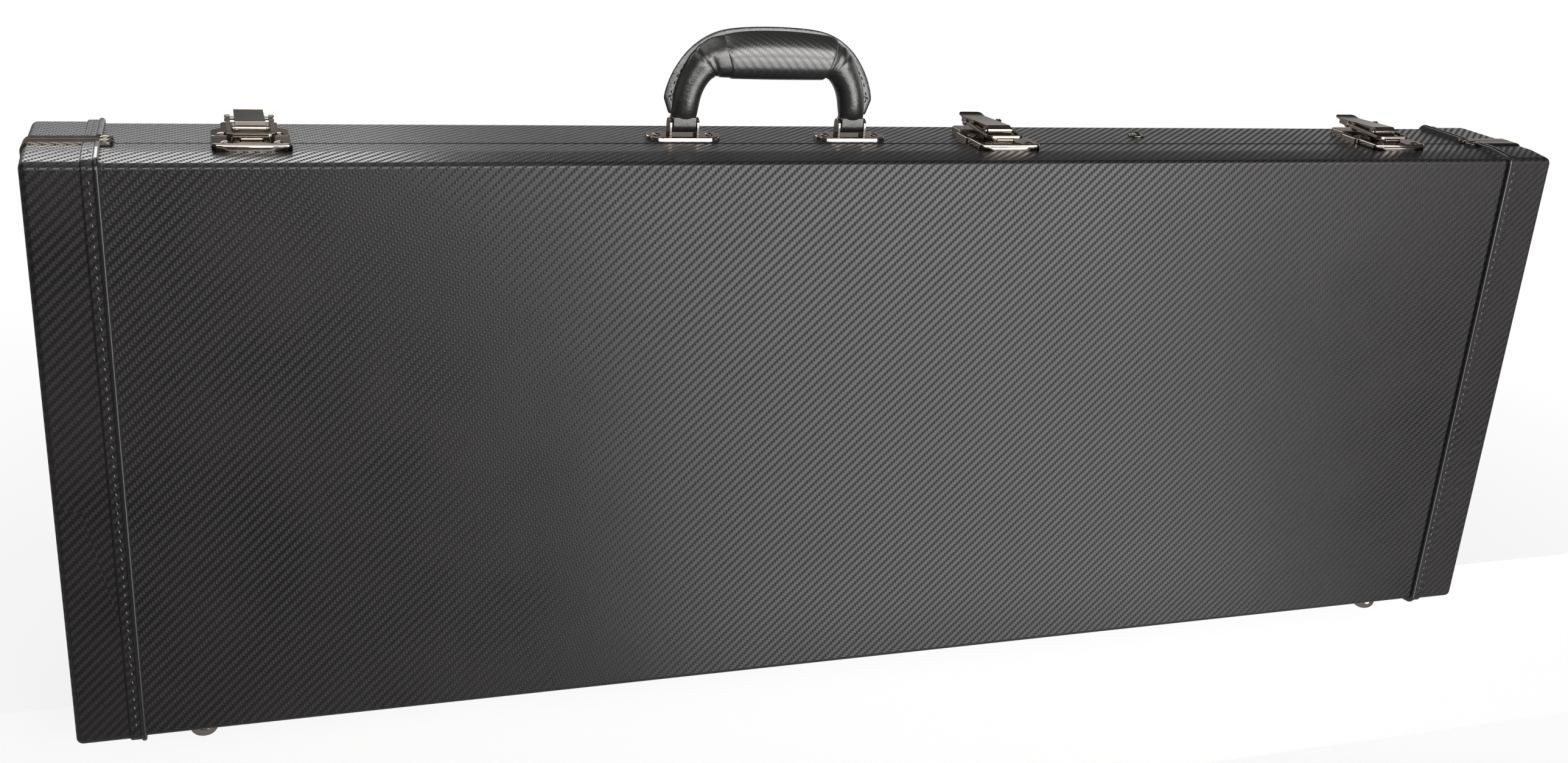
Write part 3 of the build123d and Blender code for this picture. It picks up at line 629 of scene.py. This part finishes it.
def roll_edges(bm, width, segments, chosen=lambda edge: True, clamp=True):
    """Rounds the sharp edges that are chosen."""
    sharp = [edge for edge in bm.edges if edge.is_manifold and edge.calc_face_angle() > sharp_angle]
    bmesh.ops.bevel(
        bm, geom=[edge for edge in sharp if chosen(edge)], offset=width, segments=segments,
        affect="EDGES", profile=0.5, material=-1, clamp_overlap=clamp, loop_slide=True,
    )


def finished(bm, node, material):
    """The rounded piece that stands for a CAD node."""
    thing = piece(f"{node}_rolled", bm, material, body_of(node))
    flats = thing.modifiers.new("flats", "WEIGHTED_NORMAL")
    flats.weight = 100
    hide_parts(node)
    return thing


def lean_fronts(bm, node):
    """Leans the front walls of the handle's plates back, as pressing leaves them."""
    low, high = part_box(node)
    for vert in bm.verts:
        upper = vert.co.z > (low.z + high.z) / 2
        in_front = vert.co.y < handle_y - plate_front_share * (high.y - low.y)
        if upper and in_front:
            vert.co.y += plate_lean


def rolled_metal(node):
    """A metal piece with its stamped edges rolled over."""
    bm = copy_of(node)
    if node == "handle_plates":
        lean_fronts(bm, node)
    width = next((width for kind, width in metal_rolls.items() if kind in node), small_metal_roll)
    roll_edges(bm, width * mm, 3)
    finished(bm, node, "metal")


def keeper(node):
    """A keeper with a bowed front and a broad roll round its top."""
    bm = copy_of(node)
    low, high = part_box(node)
    middle = (low.x + high.x) / 2
    half = (high.x - low.x) / 2
    for step in range(1 - keeper_strips, keeper_strips):
        cut = Vector((middle + step * half / keeper_strips, 0, 0))
        whole = bm.verts[:] + bm.edges[:] + bm.faces[:]
        bmesh.ops.bisect_plane(bm, geom=whole, plane_co=cut, plane_no=(1, 0, 0))
    plate_top = case_top + keeper_rise
    for vert in bm.verts:
        if vert.co.y < low.y + keeper_front:
            vert.co.y -= keeper_bow * (1 - ((vert.co.x - middle) / half) ** 2)
            vert.co.y += keeper_lean * max(vert.co.z - case_top, 0.0) / keeper_rise

    def on_rim(edge, front):
        """An edge round the plate's top, at its front or not."""
        level = all(abs(vert.co.z - plate_top) < keeper_level for vert in edge.verts)
        in_front = all(vert.co.y < low.y + keeper_front_rim for vert in edge.verts)
        return level and edge.is_convex and in_front == front

    roll_edges(bm, keeper_roll, 4, chosen=lambda edge: on_rim(edge, True), clamp=False)
    roll_edges(bm, keeper_rear_roll, 3, chosen=lambda edge: on_rim(edge, False))
    finished(bm, node, "metal")


def rolled_seam(node, side):
    """A shell whose vinyl wraps round the edge at the seam, side -1 for the lid and 1 for the base."""
    bm = copy_of(node)
    rim = seam_y + side * seam_half
    low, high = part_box(node)

    def outside(edge):
        """An edge at the seam that shows from outside."""
        at_rim = all(abs(vert.co.y - rim) < seam_reach for vert in edge.verts)
        outer = all(
            vert.co.z > high.z - face_reach or vert.co.z < low.z + face_reach
            or vert.co.x > high.x - end_reach or vert.co.x < low.x + end_reach
            for vert in edge.verts
        )
        return at_rim and outer and edge.is_convex

    roll_edges(bm, seam_roll, 3, chosen=outside, clamp=False)
    finished(bm, node, "panel")


def rolled_cover(node):
    """An end cover with a soft step where its hem is folded under."""
    bm = copy_of(node)
    roll_edges(bm, cover_roll, 3)
    finished(bm, node, "cover")


def metal_pieces():
    """Every stamped or turned metal piece of the frame."""
    for part in frame["record"]["subparts"]:
        if part["material_slot"] == "dark_nickel":
            if part["node"].startswith("keeper"):
                keeper(part["node"])
            else:
                rolled_metal(part["node"])


def soft_block(node):
    """A foam block in plush, its edges rounded by the cover that is pulled over them."""
    bm = bmesh.new()
    bm.from_mesh(nodes[node].data)
    bmesh.ops.remove_doubles(bm, verts=bm.verts, dist=weld_reach)
    thing = piece(f"{node}_padded", bm, "plush", body_of(node))
    skin = thing.modifiers.new("skin", "REMESH")
    skin.mode = "VOXEL"
    skin.voxel_size = foam_voxel
    skin.use_smooth_shade = True
    settle = thing.modifiers.new("settle", "SMOOTH")
    settle.factor = foam_smoothing
    settle.iterations = foam_rounds
    rounder = thing.modifiers.new("rounder", "SUBSURF")
    rounder.levels = 1
    rounder.render_levels = 1
    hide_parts(node)


def plush_board(node, material="plush"):
    """A thin covered board, lining or strip with soft edges."""
    bm = copy_of(node)
    roll_edges(bm, board_roll, 2)
    finished(bm, node, material)


def soft_pieces():
    """The padding, the linings and boards, the ribbon tab and the handle's straps."""
    for part in frame["record"]["subparts"]:
        node = part["node"]
        if part["material_slot"] != "plush":
            continue
        if "block" in node or node in ("lid_pad", "neck_rest"):
            soft_block(node)
        else:
            plush_board(node)
    plush_board("compartment_pull_tab", "ribbon")
    plush_board("handle_end_loops", "strap")


def both_halves(stations):
    """The stations of the right half, then of the left half back down."""
    left = [(-station[0], *station[1:]) for station in stations[:-1]]
    return stations + left[::-1]


# Right half of the grip's core. In each row: x, z, half height and half depth, in millimetres from the
# handle's middle and the top of the case.
grip_bend = [
    (57.6, 12.2, 7.2, 3.4),
    (57.6, 12.9, 8.4, 5.0),
    (57.5, 16.0, 8.8, 7.2),
    (56.8, 22.0, 9.0, 8.6),
    (55.8, 30.0, 9.3, 9.2),
    (53.0, 38.0, 9.7, 9.8),
    (48.8, 44.9, 10.3, 10.4),
    (46.2, 47.6, 11.4, 11.0),
    (45.0, 48.8, 10.7, 10.3),
    (43.4, 50.0, 12.4, 11.4),
    (41.8, 51.0, 11.6, 10.6),
    (39.8, 51.9, 13.1, 11.7),
    (36.5, 53.0, 13.6, 12.0),
    (18.0, 54.0, 14.8, 12.2),
    (0.0, 54.1, 15.0, 12.4),
]

# The sleeve that is sewn round the core, with its ends turned in
sleeve_right = [
    (38.2, 52.7, 11.8, 10.4),
    (38.8, 52.6, 13.6, 11.8),
    (38.0, 52.8, 14.4, 12.6),
    (35.5, 53.3, 14.7, 12.8),
]
sleeve_middle = [
    (18.0, 54.2, 15.7, 13.0),
    (0.0, 54.4, 16.0, 13.2),
    (-18.0, 54.2, 15.7, 13.0),
]
sleeve_left_shift = 7.0

# Right half of the flange's outer edge: x and z
flange_edge = [
    (67.4, 15.4),
    (68.2, 17.5),
    (71.2, 26.2),
    (71.6, 27.4),
    (71.2, 28.6),
    (67.6, 40.5),
    (61.0, 51.5),
    (54.6, 59.0),
    (46.0, 65.4),
    (37.0, 69.4),
    (26.0, 71.5),
    (10.0, 72.4),
    (0.0, 72.5),
]
flange_width = 4.0
flange_half = 1.3
flange_seam_inset = 4.2
grip_sides = 24
flange_sides = 12


def inset_line(points, inset):
    """The same line moved inwards, to its left as it runs."""
    moved = []
    for number, (x, z) in enumerate(points):
        before = points[max(number - 1, 0)]
        after = points[min(number + 1, len(points) - 1)]
        run_x = after[0] - before[0]
        run_z = after[1] - before[1]
        length = math.hypot(run_x, run_z)
        moved.append((x - run_z / length * inset, z + run_x / length * inset))
    return moved


def grip_core():
    """The padded body of the grip, with its folds at both bends."""
    bm = bmesh.new()
    run(bm, both_halves(grip_bend), grip_sides)
    core = piece("grip_core", bm, "leather", "handle", 2)
    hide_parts("handle_grip")


def grip_sleeve():
    """The twill sleeve round the middle of the grip."""
    bm = bmesh.new()
    left_end = [(-x + sleeve_left_shift, z, high, deep) for x, z, high, deep in sleeve_right[::-1]]
    run(bm, sleeve_right + sleeve_middle + left_end, grip_sides)
    sleeve = piece("grip_sleeve", bm, "sleeve", "handle", 2)
    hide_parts("handle_grip")


def grip_flange():
    """The flat stitched edge that stands up round the grip."""
    bm = bmesh.new()
    line = inset_line(both_halves(flange_edge), flange_width)
    run(bm, [(x, z, flange_width, flange_half) for x, z in line], flange_sides)
    flange = piece("grip_flange", bm, "leather", "handle", 2)
    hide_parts("handle_grip")


def stitch(bm, place, direction, length, radius):
    """One thread end, a small rounded bar along the given direction."""
    turn = Vector((0, 0, 1)).rotation_difference(direction).to_matrix().to_4x4()
    shape = Matrix.Diagonal((radius, radius, length / 2, 1.0))
    matrix = Matrix.Translation(place) @ turn @ shape
    bmesh.ops.create_icosphere(bm, subdivisions=1, radius=1.0, matrix=matrix)


def stitch_row(bm, start, end, pitch, length, radius, slant=Vector((0, 0, 0))):
    """Stitches along a straight seam, slanted if a slant is given."""
    row = end - start
    count = max(int(row.length / pitch), 1)
    direction = (row.normalized() + slant).normalized()
    for number in range(count):
        stitch(bm, start + row * ((number + 0.5) / count), direction, length, radius)


def grip_stitches():
    """The dark thread on both sides of the grip's flange."""
    bm = bmesh.new()
    line = inset_line(both_halves(flange_edge), flange_seam_inset)
    for (x, z), (next_x, next_z) in zip(line, line[1:]):
        for side in (-1, 1):
            y = handle_y + side * flange_half * mm
            start = Vector((handle_x + x * mm, y, case_top + z * mm))
            end = Vector((handle_x + next_x * mm, y, case_top + next_z * mm))
            stitch_row(bm, start, end, *grip_stitch)
    piece("grip_stitches", bm, "dark_thread", "handle")


def hem_rows(face_y, low_z, high_z, first_y, last_y):
    """Both ends, each a y and a z, of the rows up the large face, along the top and along the bottom."""
    rows = [((face_y, low_z), (face_y, high_z))]
    for z in (case_top + hem_proud, case_bottom - hem_proud):
        rows.append(((first_y, z), (last_y, z)))
    return rows


def hem_stitches():
    """The pale thread along each hem, on the lid and on the base."""
    rows = {
        "lid": hem_rows(
            front_y - hem_proud, case_bottom + crown_gap_low, case_top - crown_gap_high,
            front_y + crown_gap, seam_y - seam_gap,
        ),
        "base": hem_rows(
            back_y + hem_proud, case_bottom + back_gap, case_top - back_gap,
            seam_y + seam_gap, back_y - back_gap,
        ),
    }
    for body, lines in rows.items():
        bm = bmesh.new()
        for _, side in ends:
            x = side * (hem_inner + stitch_inset)
            slant = Vector((side * hem_slant, 0, 0))
            for (y0, z0), (y1, z1) in lines:
                stitch_row(bm, Vector((x, y0, z0)), Vector((x, y1, z1)), *hem_stitch, slant)
        piece(f"{body}_hem_stitches", bm, "pale_thread", body)


# Studio


def rotation_from(forward, right, down):
    """A camera's or lamp's turn from the directions it sees."""
    turn = Matrix.Identity(3)
    turn.col[0] = right
    turn.col[1] = -down
    turn.col[2] = -forward
    return turn.to_4x4()


def add_camera():
    """The photograph's camera."""
    pitch = math.cos(camera_pitch)
    forward = Vector((math.sin(camera_yaw) * pitch, math.cos(camera_yaw) * pitch, -math.sin(camera_pitch)))
    right = forward.cross(Vector((0, 0, 1))).normalized()
    down = forward.cross(right)
    rolled_right = math.cos(camera_roll) * right + math.sin(camera_roll) * down
    rolled_down = -math.sin(camera_roll) * right + math.cos(camera_roll) * down
    data = bpy.data.cameras.new("camera")
    data.sensor_width = sensor_width
    data.sensor_fit = "HORIZONTAL"
    data.lens = focal_px / image_width * sensor_width
    data.shift_x = (image_width / 2 - centre_px[0]) / image_width
    data.shift_y = (centre_px[1] - image_height / 2) / image_width
    data.clip_start = 0.01
    camera = bpy.data.objects.new("camera", data)
    bpy.context.collection.objects.link(camera)
    camera.matrix_world = Matrix.Translation(camera_place) @ rotation_from(forward, rolled_right, rolled_down)
    bpy.context.scene.camera = camera


def lamp(name, place, target, size, power, colour=(1.0, 1.0, 1.0), roll=0):
    """A soft rectangular lamp that looks at a point, rolled by some degrees."""
    data = bpy.data.lights.new(name, "AREA")
    data.shape = "RECTANGLE"
    data.size, data.size_y = size
    data.energy = power
    data.color = colour
    light = bpy.data.objects.new(name, data)
    bpy.context.collection.objects.link(light)
    light.visible_camera = False
    place = Vector(place)
    forward = (Vector(target) - place).normalized()
    right = forward.cross(Vector((0, 0, 1))).normalized()
    turn = rotation_from(forward, right, forward.cross(right)) @ Matrix.Rotation(math.radians(roll), 4, "Z")
    light.matrix_world = Matrix.Translation(place) @ turn


def add_lamps():
    """The softboxes whose reflections the photograph shows, each placed by mirror direction."""
    warm = (1.0, 0.982, 0.965)
    lamp("softbox_above", (-0.52, 0.1, 1.35), (-0.52, 0.12, 0.35), (0.8, 1.4), 3, warm)
    lamp("softbox_behind", (-0.62, 0.95, 0.93), (-0.45, 0.0, 0.37), (0.9, 0.34), 5)
    lamp("softbox_front", (0.68, -1.35, 0.92), (0.2, 0.0, 0.37), (1.35, 0.8), 17, warm)
    lamp("strip_low", (0.6, -1.25, 0.16), (0.5, 0.0, 0.25), (1.6, 0.3), 3, warm)
    lamp("strip_left", (-0.14, -1.25, 0.6), (-0.27, 0.0, 0.37), (0.5, 0.35), 2.6, warm)
    lamp("softbox_left", (-0.62, -1.25, 0.78), (-0.5, 0.0, 0.37), (0.6, 0.5), 4, warm)
    lamp("softbox_right", (0.56, -1.2, -0.2), (0.08, 0, 0.1), (0.9, 1.2), 10.5, roll=12)


def worked_out(tree, operation, first, second):
    """One number worked out from two."""
    node = tree.nodes.new("ShaderNodeMath")
    node.operation = operation
    tree.links.new(first, node.inputs[0])
    tree.links.new(second, node.inputs[1])
    return node.outputs[0]


def faded(tree, value, span):
    """Carries a value between the first two numbers of a span to its last two, and stops at both ends."""
    node = tree.nodes.new("ShaderNodeMapRange")
    tree.links.new(value, node.inputs["Value"])
    for number, limit in enumerate(span, 1):
        node.inputs[number].default_value = limit
    return node.outputs[0]


def mixed(tree, share, first, second):
    """A surface between two surfaces."""
    node = tree.nodes.new("ShaderNodeMixShader")
    for number, source in enumerate((share, first, second)):
        tree.links.new(source, node.inputs[number])
    return node.outputs[0]


def camera_ray(tree):
    """1 on rays that come straight from the camera."""
    return tree.nodes.new("ShaderNodeLightPath").outputs["Is Camera Ray"]


def seen_or_reflected(tree):
    """1 on rays that show the surroundings straight, in a reflection or through glass."""
    path = tree.nodes.new("ShaderNodeLightPath")
    total = path.outputs["Is Camera Ray"]
    for ray in ("Is Glossy Ray", "Is Transmission Ray"):
        total = worked_out(tree, "MAXIMUM", total, path.outputs[ray])
    return total


def backdrop_share(tree):
    """1 on the white backdrop, which stands low behind the case, and little in the dark room round it."""
    direction = tree.nodes.new("ShaderNodeTexCoord")
    parts = tree.nodes.new("ShaderNodeSeparateXYZ")
    tree.links.new(direction.outputs["Generated"], parts.inputs[0])
    fades = [faded(tree, parts.outputs[axis], span) for axis, span in backdrop_spans]
    total = fades[0]
    for fade in fades[1:]:
        total = worked_out(tree, "MINIMUM", total, fade)
    return total


def white_world():
    """White where the camera sees it, and a white backdrop in a dark room for everything else."""
    world = bpy.data.worlds.new("studio")
    bpy.context.scene.world = world
    world.use_nodes = True
    tree = world.node_tree
    tree.nodes.clear()
    output = tree.nodes.new("ShaderNodeOutputWorld")
    share = backdrop_share(tree)
    shaders = []
    for strength in (room_strength, 1.0, 1.0):
        background = tree.nodes.new("ShaderNodeBackground")
        background.inputs["Strength"].default_value = strength
        shaders.append(background)
    lit, reflected, seen = shaders
    for background in (lit, reflected):
        tree.links.new(share, background.inputs["Color"])
    seen.inputs["Color"].default_value = (1, 1, 1, 1)
    around = mixed(tree, seen_or_reflected(tree), lit.outputs[0], reflected.outputs[0])
    whole = mixed(tree, camera_ray(tree), around, seen.outputs[0])
    tree.links.new(whole, output.inputs["Surface"])


def floor_material():
    """Pale paper that shows white and keeps a soft shadow."""
    material = bpy.data.materials.new("studio_floor")
    material.use_nodes = True
    tree = material.node_tree
    tree.nodes.clear()
    output = tree.nodes.new("ShaderNodeOutputMaterial")
    diffuse = tree.nodes.new("ShaderNodeBsdfDiffuse")
    diffuse.inputs["Color"].default_value = floor_grey
    glow = tree.nodes.new("ShaderNodeEmission")
    tree.links.new(faded(tree, camera_ray(tree), (0.0, 1.0, floor_glow, 1.0)), glow.inputs["Strength"])
    share = worked_out(tree, "MULTIPLY", seen_or_reflected(tree), distance_fade(tree))
    tree.links.new(mixed(tree, share, diffuse.outputs[0], glow.outputs[0]), output.inputs["Surface"])
    return material


def distance_fade(tree):
    """Rises to 1 from beside the case to far from it."""
    place = tree.nodes.new("ShaderNodeTexCoord")
    length = tree.nodes.new("ShaderNodeVectorMath")
    length.operation = "LENGTH"
    tree.links.new(place.outputs["Object"], length.inputs[0])
    return faded(tree, length.outputs["Value"], (floor_near, floor_far, floor_near_share, 1.0))


def add_floor():
    """A pale floor that steps down between the two rows of feet, so that the lid can fall open."""
    bm = bmesh.new()
    profile = [(floor_reach, 0.0), (floor_edge, 0.0), (floor_edge, floor_drop), (floor_front, floor_drop)]
    verts = [bm.verts.new((-floor_reach, y, z)) for y, z in profile]
    edges = [bm.edges.new(pair) for pair in zip(verts, verts[1:])]
    made = bmesh.ops.extrude_edge_only(bm, edges=edges)
    across = [item for item in made["geom"] if isinstance(item, bmesh.types.BMVert)]
    bmesh.ops.translate(bm, verts=across, vec=(2 * floor_reach, 0, 0))
    mesh = bpy.data.meshes.new("floor")
    bm.to_mesh(mesh)
    bm.free()
    mesh.materials.append(floor_material())
    floor = bpy.data.objects.new("floor", mesh)
    bpy.context.collection.objects.link(floor)


bpy.context.scene.view_settings.view_transform = "Standard"
add_camera()
add_lamps()
white_world()
add_floor()
dress_nodes()
grip_core()
grip_sleeve()
grip_flange()
grip_stitches()
hem_stitches()
metal_pieces()
rolled_seam("lid_shell", -1)
rolled_seam("base_shell", 1)
for end, _ in ends:
    rolled_cover(f"lid_cover_{end}")
    rolled_cover(f"base_cover_{end}")
soft_pieces()
